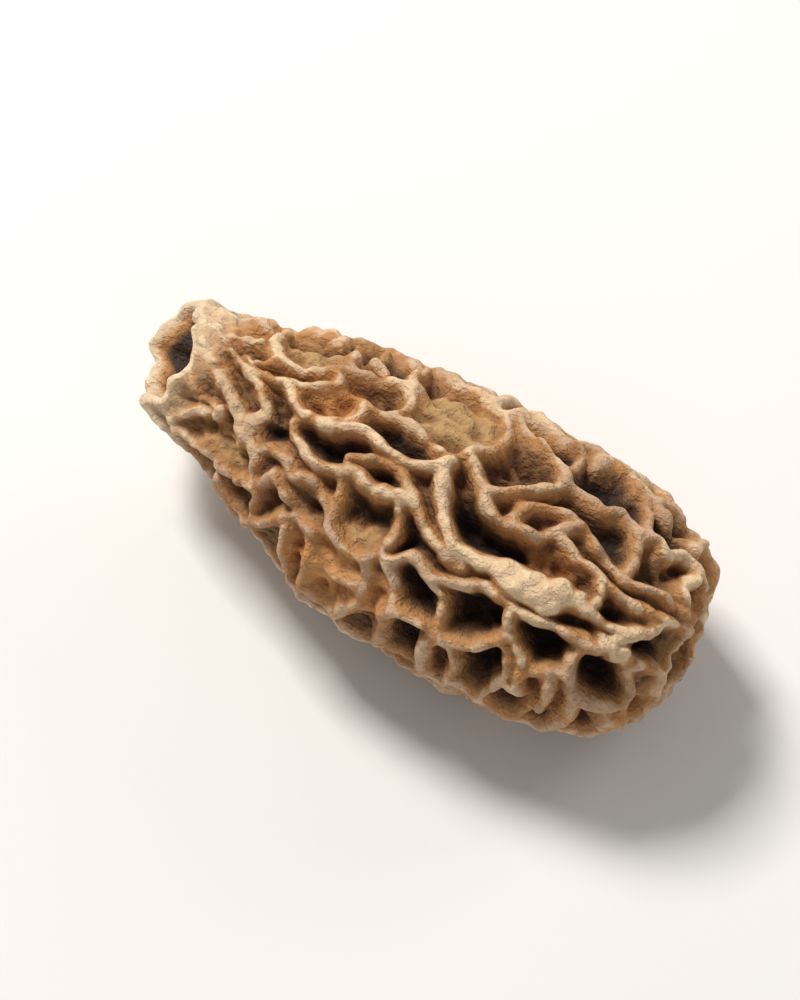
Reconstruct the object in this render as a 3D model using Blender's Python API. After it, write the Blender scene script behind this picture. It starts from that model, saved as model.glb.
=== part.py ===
"""Dried morel mushroom, lying on its side with its stem cut off near the cap.

One hollow body. Its outside is a sphere drawn out along X and worked into ridges and pits, its
inside is a smooth hollow that opens at the cut stem, and its lowest ridges are worn level where
it lies. Lengths below are in millimetres until metres() turns them into the scene's unit.

X runs along the cap from the cut stem to the tip, and Z is up.
"""

import math
import random

import bmesh
import bpy
import numpy as np
from mathutils import Matrix

NAME = "morel"
MM = 0.001

# How the seen side is turned: its middle line lies this far from straight up, towards -Y, and it is
# looked at along a line that leans this far towards the tip.
FACE_TURN = math.radians(28.7)
FACE_LEAN = math.radians(17.0)

# Where the seen side's own scale starts, along the body.
SEEN_START = -1.2

# The outline from stem to tip, as (along, half width).
OUTLINE = [
    (-2.0, 0.0), (-1.8, 2.0), (-0.9, 3.9), (1.5, 4.7), (5.0, 5.1), (9.0, 5.9), (14.3, 8.0),
    (19.0, 9.3), (23.5, 10.0), (29.0, 10.2), (34.6, 10.1), (38.0, 9.6), (41.0, 8.9),
    (43.4, 7.7), (45.2, 5.9), (46.2, 3.4), (46.5, 0.0),
]
WIDE = 1.035
TALL = 0.86

# The middle line's offset (along, sideways, up): the stem end bends up and back.
BEND = [(0.0, 1.2, 2.0), (9.0, 0.9, 1.5), (18.0, 0.2, 0.6), (28.0, 0.0, 0.0), (46.5, -0.2, -0.2)]

ROUND_STEPS = 88
LONG_STEPS = 64

# The ridges of the seen side: half width, height of the crest, then the points it runs through as
# (along, across), with across growing towards the front edge.
RIDGES = [
    (0.65, 0.2, [(22.2, -4.0), (22.9, -2.2), (24.0, -0.4), (25.3, 1.0), (28.4, 1.1), (34.5, 0.2)]),
    (0.50, 0.1, [(14.3, 0.9), (16.9, -0.3), (20.0, -0.2), (21.3, -0.4), (22.7, 0.7), (26.6, 2.0)]),
    (0.45, 0.1, [(7.3, -3.2), (9.0, -3.4), (10.3, -3.0), (11.7, -2.1)]),
    (0.50, 0.1, [(12.1, -2.3), (15.6, -3.1), (17.8, -2.8), (21.3, -3.1), (22.4, -4.0)]),
    (0.45, 0.1, [(23.1, -5.2), (25.3, -3.4), (27.5, -2.0), (29.3, -2.2), (30.6, -3.1), (31.9, -4.3)]),
    (0.45, 0.1, [(26.6, -3.8), (29.3, -5.9), (29.9, -6.8), (29.3, -7.8), (26.2, -8.8), (24.0, -10.0)]),
    (0.45, 0.0, [(30.1, -6.6), (33.2, -6.3), (35.9, -6.2), (36.7, -4.0)]),
    (0.40, 0.0, [(31.9, -4.4), (34.5, -3.4), (38.1, -2.6), (43.3, -2.6)]),
    (0.40, 0.0, [(31.5, -2.9), (35.4, -1.6), (39.8, -1.3), (43.6, -0.7)]),
    (0.45, 0.0, [(35.0, -1.5), (35.4, -0.4), (35.2, 0.5)]),
    (0.50, 0.0, [(40.3, -1.3), (38.9, 0.7), (37.4, 2.3)]),
    (0.45, 0.0, [(23.1, 2.9), (24.9, 3.4), (27.9, 2.6), (33.7, 2.5), (37.2, 2.6)]),
    (0.45, 0.0, [(30.6, 3.1), (31.4, 4.9), (29.3, 6.7), (27.9, 7.2)]),
    (0.40, 0.0, [(26.2, 4.0), (26.6, 5.5), (27.9, 7.3)]),
    (0.40, 0.0, [(21.5, 3.5), (23.8, 6.3), (26.2, 6.8)]),
    (0.40, 0.0, [(35.9, 2.9), (36.3, 5.3), (37.2, 6.2)]),
    (0.40, 0.0, [(31.9, 4.4), (33.7, 6.4), (36.3, 5.5)]),
    (0.40, 0.0, [(37.2, 6.2), (40.3, 5.9), (40.6, 4.0), (38.9, 2.2)]),
    (0.50, 0.0, [(42.5, 2.2), (43.6, 4.4), (42.0, 7.0), (40.7, 6.6)]),
    (0.40, 0.0, [(39.8, 2.6), (42.9, 2.2), (43.6, 0.9), (43.4, -0.7)]),
    (0.50, 0.2, [(40.3, -7.5), (42.2, -6.6), (41.1, -4.8), (41.1, -2.9)]),
    (0.45, 0.0, [(36.3, -5.9), (38.5, -5.5), (40.5, -5.9)]),
    (0.40, 0.0, [(34.5, -9.5), (38.1, -8.2), (40.3, -7.9)]),
    (0.40, 0.0, [(29.3, -9.9), (33.2, -10.2), (36.3, -7.9), (36.7, -6.6)]),
    (0.45, 0.0, [(28.4, 7.5), (29.1, 8.4), (28.8, 9.7)]),
    (0.40, 0.0, [(32.2, 5.7), (32.4, 8.4), (31.5, 9.5)]),
    (0.45, 0.0, [(35.4, 6.2), (35.9, 7.5), (34.5, 9.7)]),
    (0.45, 0.0, [(39.8, 6.2), (40.3, 7.5), (38.0, 8.8)]),
    (0.50, 0.0, [(2.9, 2.9), (5.1, 1.1), (6.4, 0.5), (3.7, -0.2), (1.9, -1.4)]),
    (0.60, 0.1, [(2.0, -4.4), (4.6, -2.2), (7.0, -0.7), (8.6, 1.3)]),
    (0.50, 0.0, [(3.7, -4.8), (6.4, -3.3), (8.8, -1.3), (9.0, 1.1)]),
    (0.50, 0.0, [(7.3, -6.2), (9.5, -4.8), (12.1, -5.9), (17.8, -7.7)]),
    (0.40, 0.0, [(15.2, -5.1), (18.7, -5.3), (22.2, -4.6), (23.1, -5.1)]),
    (0.40, 0.0, [(16.9, -10.0), (17.8, -6.2), (16.9, -5.3)]),
    (0.40, 0.0, [(2.0, -6.8), (6.4, -7.3), (9.0, -7.7), (12.5, -9.0)]),
    (0.40, 0.0, [(11.4, -2.2), (11.2, -1.1), (14.3, 0.7)]),
    (0.50, 0.0, [(3.7, 2.9), (8.6, 4.4), (11.0, 3.7), (10.1, 2.0), (9.0, 1.1)]),
    (0.45, 0.0, [(16.5, 1.3), (17.4, 4.0), (19.8, 4.6), (21.3, 3.1), (20.7, 0.2)]),
    (0.40, 0.0, [(11.4, 6.6), (13.6, 5.2), (14.7, 4.5), (16.1, 4.6)]),
    (0.40, 0.0, [(14.3, 5.3), (15.6, 7.9), (16.5, 9.0)]),
    (0.40, -0.2, [(20.5, 4.8), (21.3, 7.0), (20.5, 9.2)]),
]

# Where the seen side's pits differ from the usual depth: (along, across), half sizes, depth.
PITS = [
    ((27.9, -1.1), (3.5, 1.2), 3.0),
    ((21.3, -7.9), (3.2, 2.6), 0.9),
    ((26.6, -6.6), (2.4, 2.0), 1.9),
    ((32.8, -8.6), (2.8, 1.6), 2.3),
    ((28.8, 4.8), (2.2, 1.6), 2.7),
    ((33.9, 4.2), (1.8, 1.0), 2.9),
    ((38.3, 4.4), (2.0, 1.2), 2.6),
    ((17.9, -4.0), (2.6, 0.8), 2.3),
    ((14.3, -1.5), (2.6, 0.8), 2.2),
    ((19.6, 7.0), (3.5, 2.0), 0.8),
    ((13.9, -4.8), (2.6, 1.6), 1.0),
    ((4.6, -6.2), (2.4, 1.2), 0.7),
    ((7.3, 2.6), (2.4, 1.2), 1.0),
    ((40.7, 1.1), (1.8, 1.0), 2.6),
]
USUAL_DEPTH = 1.8
STEM_DEPTH = 0.7
STEM_END = (4.0, 12.0)
TIP_DEPTH = 0.8
TIP_END = (44.6, 46.4)
WALL_RUN = 1.5

# The unseen side's pits: one in each cell of a staggered lattice, moved about by a seeded amount.
HIDDEN_ROWS = 12
HIDDEN_AROUND = 11
HIDDEN_STRETCH = 0.62
HIDDEN_RIDGE = 0.35
HIDDEN_FROM = math.radians(74.0)
HIDDEN_FULL = math.radians(96.0)
SEED = 11

# The hollow: (along, half width, half height), on the bent middle line.
HOLLOW = [
    (-6.0, 3.3, 2.9), (0.0, 3.3, 2.9), (6.0, 3.3, 2.9), (11.0, 3.8, 3.1), (18.0, 5.0, 3.9),
    (26.0, 5.4, 4.2), (33.0, 5.2, 4.0), (37.5, 3.6, 2.9), (39.0, 0.0, 0.0),
]
HOLLOW_ROUND = 28
HOLLOW_RINGS = 18

# The stem's slanted cut, by its lowest and highest reach along the body.
CUT_LOW = 0.0
CUT_HIGH = 5.8
CUT_ACROSS = 8.6

# The lowest ridges are worn level this far up, and the floor is there.
WORN = 0.35
SETTLE_BAND = 1.6
SETTLE_SHARE = 0.5

CUTTER_SIZE = 30.0
COLOUR = (0.42, 0.27, 0.14, 1.0)
ROUGHNESS = 0.85
CREASE_ANGLE = math.radians(50.0)


def metres(length):
    """The scene's length for one in millimetres."""
    return length * MM


def clear_scene():
    for old in list(bpy.data.objects):
        bpy.data.objects.remove(old, do_unlink=True)


def new_collection(name, for_cutters):
    made = bpy.data.collections.new(name)
    made.hide_render = for_cutters
    bpy.context.scene.collection.children.link(made)
    return made


def table(x, rows, column):
    """The column's value at x, read from the rows and smoothed over a few millimetres."""
    rows = np.array(rows)
    offsets = np.linspace(-1.5, 1.5, 7)
    return np.mean([np.interp(x + step, rows[:, 0], rows[:, column]) for step in offsets], axis=0)


def even_path(points, count):
    """The count points spaced evenly along the smooth curve through the given points."""
    p = np.array(points, float)
    p = np.vstack([2 * p[0] - p[1], p, 2 * p[-1] - p[-2]])
    t = np.linspace(0.0, 1.0, 12, endpoint=False)[:, None, None]
    a, b, c, d = p[:-3], p[1:-2], p[2:-1], p[3:]
    run = 2 * b + (c - a) * t + (2 * a - 5 * b + 4 * c - d) * t**2 + (3 * b - a - 3 * c + d) * t**3
    run = np.vstack([0.5 * run.transpose(1, 0, 2).reshape(-1, p.shape[1]), p[-2]])
    length = np.concatenate([[0.0], np.cumsum(np.linalg.norm(np.diff(run, axis=0), axis=1))])
    spots = np.linspace(0.0, length[-1], count)
    return np.stack([np.interp(spots, length, run[:, i]) for i in range(run.shape[1])], axis=1)


def middle(x):
    """The middle line's sideways and upward offset at x."""
    return table(x, BEND, 1), table(x, BEND, 2)


def surface_point(x, half_width, angle):
    """The smooth body's point, for an angle from the seen side's middle line towards the front."""
    turn = FACE_TURN + angle
    wide = np.maximum(half_width * WIDE, 1e-6)
    tall = np.maximum(half_width * TALL, 1e-6)
    reach = 1.0 / np.sqrt((np.sin(turn) / wide) ** 2 + (np.cos(turn) / tall) ** 2)
    side, up = middle(x)
    return np.stack([x, side - reach * np.sin(turn), up + reach * np.cos(turn)], axis=-1)


def outline_width(x):
    run = even_path(OUTLINE, 200)
    return np.interp(x, run[:, 0], run[:, 1])


def seat(points):
    """The seen side's (along, across) points, set onto the smooth body."""
    along, across = np.array(points, float).T
    x = (along - SEEN_START) / math.cos(FACE_LEAN)
    angle = np.zeros_like(x)
    for _ in range(25):
        spot = surface_point(x, outline_width(x), angle)
        side, up = middle(x)
        toward = -math.sin(FACE_TURN) * spot[:, 1] + math.cos(FACE_TURN) * spot[:, 2]
        x = np.clip((along - SEEN_START + math.sin(FACE_LEAN) * toward) / math.cos(FACE_LEAN), 0, 46.2)
        reach = np.hypot(spot[:, 1] - side, spot[:, 2] - up)
        offset = across + math.cos(FACE_TURN) * side + math.sin(FACE_TURN) * up
        angle = np.arcsin(np.clip(offset / np.maximum(reach, 1e-6), -1.0, 1.0))
    return surface_point(x, outline_width(x), angle)


def distance_to_path(points, path):
    """How far each point is from the nearest stretch of the path."""
    start, step = path[:-1], np.diff(path, axis=0)
    to_point = points[:, None, :] - start[None]
    share = np.clip((to_point * step).sum(-1) / np.maximum((step**2).sum(-1), 1e-12), 0.0, 1.0)
    return np.linalg.norm(to_point - share[..., None] * step, axis=-1).min(axis=1)


def smooth_step(low, high, value):
    share = np.clip((value - low) / (high - low), 0.0, 1.0)
    return share * share * (3.0 - 2.0 * share)


def seen_field(points):
    """(distance to the edge of the nearest ridge, height of its crest, pit depth) on the seen side."""
    gap = np.full(len(points), 1e3)
    crest = np.zeros(len(points))
    for half_width, height, path in RIDGES:
        run = seat(even_path(path, 3 * len(path)))
        this_gap = distance_to_path(points, run) - half_width
        crest = np.where(this_gap < gap, height, crest)
        gap = np.minimum(gap, this_gap)
    depth = np.full(len(points), USUAL_DEPTH)
    for spot, sizes, pit_depth in PITS:
        centre = seat([spot])[0]
        offset = points - centre
        across = np.linalg.norm(offset[:, 1:], axis=1)
        share = np.exp(-(((offset[:, 0] / sizes[0]) ** 2 + (across / sizes[1]) ** 2) ** 2) / 3.0)
        depth += (pit_depth - depth) * share
    return gap, crest, depth


def hidden_centres():
    """The pit centres all over the body, in a staggered lattice with seeded shifts."""
    jitter = random.Random(SEED)
    run = even_path(OUTLINE, HIDDEN_ROWS + 4)[2:-1]
    spots = []
    for row, (x, half_width) in enumerate(run):
        count = max(3, round(HIDDEN_AROUND * half_width / 10.2))
        for place in range(count):
            angle = 2 * math.pi * (place + 0.5 * (row % 2) + jitter.uniform(-0.28, 0.28)) / count
            spots.append((x + jitter.uniform(-1.1, 1.1), half_width, angle))
    x, half_width, angle = np.array(spots).T
    return surface_point(x, half_width, angle)


def hidden_field(points):
    """(distance to the edge of the nearest ridge, pit depth) where two pits' reaches meet."""
    squeeze = np.array([HIDDEN_STRETCH, 1.0, 1.0])
    apart = np.linalg.norm((points[:, None] - hidden_centres()[None]) * squeeze, axis=-1)
    apart.sort(axis=1)
    gap = (apart[:, 1] - apart[:, 0]) / 2.0 - HIDDEN_RIDGE
    return gap, np.full(len(points), USUAL_DEPTH)


def relief(points, angle, x):
    """How far each point of the smooth body moves out to give the ridges and pits."""
    gap, crest, depth = seen_field(points)
    back_gap, back_depth = hidden_field(points)
    back = smooth_step(HIDDEN_FROM, HIDDEN_FULL, np.abs(angle))
    gap = gap * (1.0 - back) + back_gap * back
    crest = crest * (1.0 - back)
    depth = depth * (1.0 - back) + back_depth * back
    depth = STEM_DEPTH + (depth - STEM_DEPTH) * smooth_step(*STEM_END, x)
    depth = depth + (TIP_DEPTH - depth) * smooth_step(*TIP_END, x)
    return crest - (crest + depth) * smooth_step(0.0, WALL_RUN, gap)


def settle(z, lowest):
    """Flattens the underside a little: a height within the band above the lowest is drawn down."""
    rise = z - lowest
    inside = np.clip(rise / SETTLE_BAND, 0.0, 1.0)
    return lowest + rise * (SETTLE_SHARE + (1.0 - SETTLE_SHARE) * inside)


def shape_body(mesh):
    """Draws a unit sphere with its poles on X out into the ridged body."""
    co = np.empty(len(mesh.vertices) * 3)
    mesh.vertices.foreach_get("co", co)
    co = co.reshape(-1, 3)
    share = np.arccos(np.clip(-co[:, 0], -1.0, 1.0)) / math.pi
    angle = np.arctan2(-co[:, 1], co[:, 2])
    run = even_path(OUTLINE, 400)
    spots = np.linspace(0.0, 1.0, len(run))
    x = np.interp(share, spots, run[:, 0])
    half_width = np.interp(share, spots, run[:, 1])
    base = surface_point(x, half_width, angle)
    side, up = middle(x)
    outward = base - np.stack([x, side, up], axis=1)
    outward[:, 0] = 0.0
    outward /= np.maximum(np.linalg.norm(outward, axis=1), 1e-6)[:, None]
    steep = smooth_step(41.0, 46.3, x)
    outward *= (1.0 - 0.75 * steep)[:, None]
    outward[:, 0] = steep * 0.9
    moved = base + outward * relief(base, angle, x)[:, None]
    lowest = moved[:, 2].min()
    moved[:, 2] = settle(moved[:, 2], lowest) - lowest - WORN
    mesh.vertices.foreach_set("co", metres(moved).ravel())
    mesh.update()
    return lowest + WORN


def ball(name, around, rings, collection):
    """A new mesh object: a unit sphere with its poles on the X axis."""
    form = bmesh.new()
    upright = Matrix.Rotation(math.radians(-90.0), 4, "Y")
    bmesh.ops.create_uvsphere(form, u_segments=around, v_segments=rings, radius=1.0, matrix=upright)
    mesh = bpy.data.meshes.new(name)
    form.to_mesh(mesh)
    form.free()
    made = bpy.data.objects.new(name, mesh)
    collection.objects.link(made)
    return made


def block(name, size, centre, turn, collection):
    """A new box of one size each way, turned about Y then X, in millimetres."""
    form = bmesh.new()
    place = Matrix.Translation([metres(c) for c in centre]) @ turn
    bmesh.ops.create_cube(form, size=metres(size), matrix=place)
    mesh = bpy.data.meshes.new(name)
    form.to_mesh(mesh)
    form.free()
    made = bpy.data.objects.new(name, mesh)
    collection.objects.link(made)
    return made


def shape_hollow(mesh, floor):
    """Draws a unit sphere with its poles on X out into the hollow."""
    co = np.empty(len(mesh.vertices) * 3)
    mesh.vertices.foreach_get("co", co)
    co = co.reshape(-1, 3)
    share = np.arccos(np.clip(-co[:, 0], -1.0, 1.0)) / math.pi
    angle = np.arctan2(-co[:, 1], co[:, 2])
    ends = np.array(HOLLOW)
    x = np.interp(share, [0.0, 0.06, 0.94, 1.0], [ends[0, 0], -5.0, 38.0, ends[-1, 0]])
    cap = np.sqrt(np.clip(1.0 - np.clip((np.abs(x - 16.5) - 18.0) / 4.5, 0.0, 1.0) ** 2, 0.0, 1.0))
    wide = np.interp(x, ends[:, 0], ends[:, 1]) * cap
    tall = np.interp(x, ends[:, 0], ends[:, 2]) * cap
    at_pole = (share < 1e-4) | (share > 1.0 - 1e-4)
    wide[at_pole] = 0.0
    tall[at_pole] = 0.0
    side, up = middle(np.clip(x, 0.0, None))
    moved = np.stack([x, side - wide * np.sin(angle), up + tall * np.cos(angle) - floor], axis=1)
    mesh.vertices.foreach_set("co", metres(moved).ravel())
    mesh.update()


def cut(body, cutter):
    """Takes the cutter's volume out of the body."""
    boolean = body.modifiers.new(cutter.name, "BOOLEAN")
    boolean.operation = "DIFFERENCE"
    boolean.solver = "EXACT"
    boolean.object = cutter
    cutter.display_type = "WIRE"
    cutter.hide_render = True


def stem_cutter(floor, collection):
    """A block whose one face is the slanted cut through the stem."""
    slant = math.atan2(CUT_HIGH - CUT_LOW, CUT_ACROSS)
    turn = Matrix.Rotation(FACE_TURN, 4, "X") @ Matrix.Rotation(slant, 4, "Y")
    side, up = middle(np.array(2.0))
    on_cut = np.array([(CUT_LOW + CUT_HIGH) / 2.0, float(side), float(up) - floor])
    outward = np.array(turn.to_3x3() @ Matrix.Identity(3).col[0])
    centre = on_cut - outward * (CUTTER_SIZE / 2.0)
    return block("stem_cutter", CUTTER_SIZE, centre, turn, collection)


def floor_cutter(collection):
    """A block that wears the lowest ridges level with Z = 0."""
    centre = (22.0, 0.0, -CUTTER_SIZE)
    return block("floor_cutter", 2.0 * CUTTER_SIZE, centre, Matrix.Identity(4), collection)


def flesh_material():
    made = bpy.data.materials.new("dried_flesh")
    made.use_nodes = True
    made.diffuse_color = COLOUR
    shader = made.node_tree.nodes["Principled BSDF"]
    shader.inputs["Base Color"].default_value = COLOUR
    shader.inputs["Roughness"].default_value = ROUGHNESS
    shader.inputs["Metallic"].default_value = 0.0
    return made


def centre_on_floor(objects):
    """Moves every mesh so that the body's box is centred on the origin in X and Y."""
    graph = bpy.context.evaluated_depsgraph_get()
    body = objects[0].evaluated_get(graph).to_mesh()
    co = np.empty(len(body.vertices) * 3)
    body.vertices.foreach_get("co", co)
    low = co.reshape(-1, 3).min(axis=0)
    high = co.reshape(-1, 3).max(axis=0)
    shift = Matrix.Translation((-(low[0] + high[0]) / 2.0, -(low[1] + high[1]) / 2.0, 0.0))
    for item in objects:
        item.data.transform(shift)


def main():
    clear_scene()
    parts = new_collection("dried_morel", False)
    cutters = new_collection("cutters", True)
    body = ball(NAME, ROUND_STEPS, LONG_STEPS, parts)
    floor = shape_body(body.data)
    hollow = ball("hollow_cutter", HOLLOW_ROUND, HOLLOW_RINGS, cutters)
    shape_hollow(hollow.data, floor)
    stem = stem_cutter(floor, cutters)
    level = floor_cutter(cutters)
    for cutter in (stem, hollow, level):
        cut(body, cutter)
    body.data.materials.append(flesh_material())
    body.data.shade_smooth()
    body.data.set_sharp_from_angle(angle=CREASE_ANGLE)
    bpy.context.view_layer.update()
    centre_on_floor([body, hollow, stem, level])


main()
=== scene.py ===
"""A dried morel mushroom on a pale floor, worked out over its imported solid.

The mushroom is one closed skin: a folded profile that runs from inside the hollow stem, round the
torn lip and along the cap to the tip, turned round the long axis and pushed in and out by the
ridges and pits. Lengths are in millimetres until metres() turns them into the scene's unit.
"""

import math

import bpy
import numpy as np
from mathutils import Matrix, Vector


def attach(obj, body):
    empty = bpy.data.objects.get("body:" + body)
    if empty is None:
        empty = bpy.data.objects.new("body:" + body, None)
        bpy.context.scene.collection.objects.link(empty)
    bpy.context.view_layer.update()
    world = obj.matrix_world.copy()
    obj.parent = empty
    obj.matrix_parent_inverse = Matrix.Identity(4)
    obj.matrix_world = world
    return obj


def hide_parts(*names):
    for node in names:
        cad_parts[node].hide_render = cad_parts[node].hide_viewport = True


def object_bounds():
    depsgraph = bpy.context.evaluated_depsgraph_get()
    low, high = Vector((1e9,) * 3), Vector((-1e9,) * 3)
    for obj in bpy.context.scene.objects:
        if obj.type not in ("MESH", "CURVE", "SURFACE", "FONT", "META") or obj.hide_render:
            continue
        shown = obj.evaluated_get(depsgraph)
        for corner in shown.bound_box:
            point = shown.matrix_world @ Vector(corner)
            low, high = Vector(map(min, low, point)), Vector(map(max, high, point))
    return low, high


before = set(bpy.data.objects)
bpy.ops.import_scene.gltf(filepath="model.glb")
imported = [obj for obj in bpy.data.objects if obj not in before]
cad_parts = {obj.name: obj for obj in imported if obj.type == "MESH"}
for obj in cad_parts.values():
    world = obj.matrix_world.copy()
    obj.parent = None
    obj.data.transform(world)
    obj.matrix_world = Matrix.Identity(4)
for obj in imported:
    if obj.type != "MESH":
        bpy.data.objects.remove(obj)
SOLID_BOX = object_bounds()

bl_info = {
    "name": "Dried morel",
    "version": (1, 0, 0),
    "blender": (4, 5, 0),
    "location": "3D View > Sidebar > Morel",
    "description": "Builds a dried morel mushroom with a ridged, pitted cap and a hollow stem end",
    "category": "Add Mesh",
}

MM = 0.001

# The seen side's middle line lies this far from straight up, towards -Y, and the seen side's own
# scale leans this far towards the tip.
FACE_TURN = math.radians(28.7)
FACE_LEAN = math.radians(17.0)
SEEN_START = -1.2

# The outline from stem to tip, as (along, half width).
OUTLINE = [
    (0.0, 4.75), (1.5, 4.75), (5.0, 5.1), (9.0, 5.9), (14.3, 8.0), (19.0, 9.3), (23.5, 10.0),
    (29.0, 10.2), (34.6, 10.1), (38.0, 9.6), (41.0, 8.9), (43.4, 7.7), (45.2, 5.9),
    (46.2, 3.4), (46.5, 0.0),
]
WIDE = 1.035
TALL = 0.86

# The middle line's offset (along, sideways, up): the stem end bends up and back.
BEND = [(0.0, 1.2, 2.0), (9.0, 0.9, 1.5), (18.0, 0.2, 0.6), (28.0, 0.0, 0.0), (46.5, -0.2, -0.2)]

# The hollow, as (along, share of the outline's half width).
HOLLOW = [(0.0, 0.70), (3.0, 0.66), (9.0, 0.58), (18.0, 0.52), (30.0, 0.52), (36.0, 0.42), (39.0, 0.0)]

# The lip's slant: how much further along it stands on the seen side than on the far side.
LIP_SLANT = 5.6
LIP_REACH = 13.0

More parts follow.
